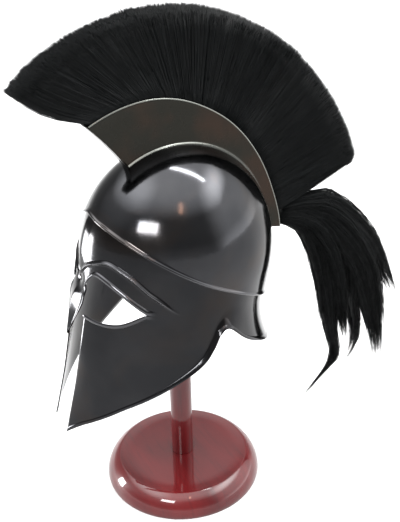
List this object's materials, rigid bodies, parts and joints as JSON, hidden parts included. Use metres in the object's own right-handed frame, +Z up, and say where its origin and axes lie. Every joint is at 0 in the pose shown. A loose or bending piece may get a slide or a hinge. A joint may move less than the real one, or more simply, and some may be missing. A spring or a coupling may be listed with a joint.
{
  "type": "greek hoplite helmet with horsehair crest on a wooden stand",
  "caption": "Closed-face Corinthian-style helmet with eye openings, nasal and cheek plates, a fan-shaped hair crest with a falling tail, on a round turned wooden stand.",
  "frame": {"origin": "centre of the stand's underside, on the axis of its post", "axes": "+Z up along the post, the face of the helmet looks along -Y, +X is the wearer's left side"},
  "size_m": [0.2286, 0.545, 0.6096],
  "materials": {
    "polished_steel": "blackened steel, polished to a mirror, with faint brown staining",
    "crest_steel": "blackened steel sheet, satin, bright along its cut edges",
    "horsehair": "black horsehair, straight and slightly glossy",
    "lacquered_wood": "dark red mahogany stain under a high-gloss lacquer"
  },
  "bodies": {
    "root": {"skull": "polished_steel", "mask": "polished_steel", "crest_holder": "crest_steel", "crest_brush": "horsehair", "crest_tail": "horsehair", "stand_base": "lacquered_wood", "stand_post": "lacquered_wood"}
  },
  "joints": []
}
